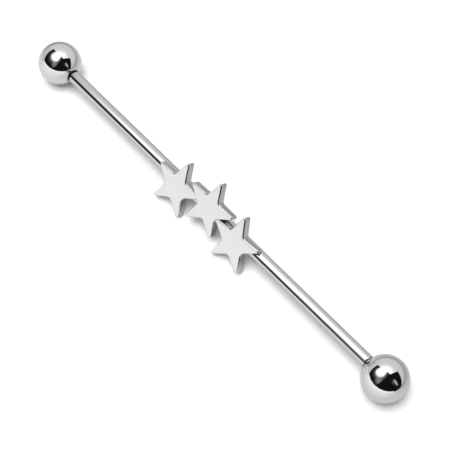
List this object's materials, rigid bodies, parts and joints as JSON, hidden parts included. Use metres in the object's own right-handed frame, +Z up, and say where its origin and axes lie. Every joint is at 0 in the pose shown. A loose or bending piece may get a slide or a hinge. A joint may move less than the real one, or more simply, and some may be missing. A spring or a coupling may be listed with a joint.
{
  "type": "industrial barbell",
  "caption": "Long straight polished ear barbell with a screw-on ball at each end and a plate of joined stars soldered along its middle.",
  "frame": {"origin": "on the surface it lies on, under the middle of the whole part", "axes": "+X along the bar towards the right ball, +Z up from the surface, -Y the side that the star plate's face leans towards"},
  "size_m": [0.0458, 0.0042, 0.0049],
  "materials": {
    "bar_steel": "polished surgical steel, fine polishing lines",
    "ball_steel": "mirror-polished surgical steel"
  },
  "bodies": {
    "bar": {"bar_with_stars": "bar_steel"},
    "left_ball": {"ball_left": "ball_steel"},
    "right_ball": {"ball_right": "ball_steel"}
  },
  "joints": [
    {"name": "ball_left_unscrews", "type": "slide", "parent": "bar", "child": "left_ball", "axis": [-1, 0, 0], "range_m": [0, 0.01]},
    {"name": "ball_right_unscrews", "type": "slide", "parent": "bar", "child": "right_ball", "axis": [1, 0, 0], "range_m": [0, 0.01]}
  ]
}
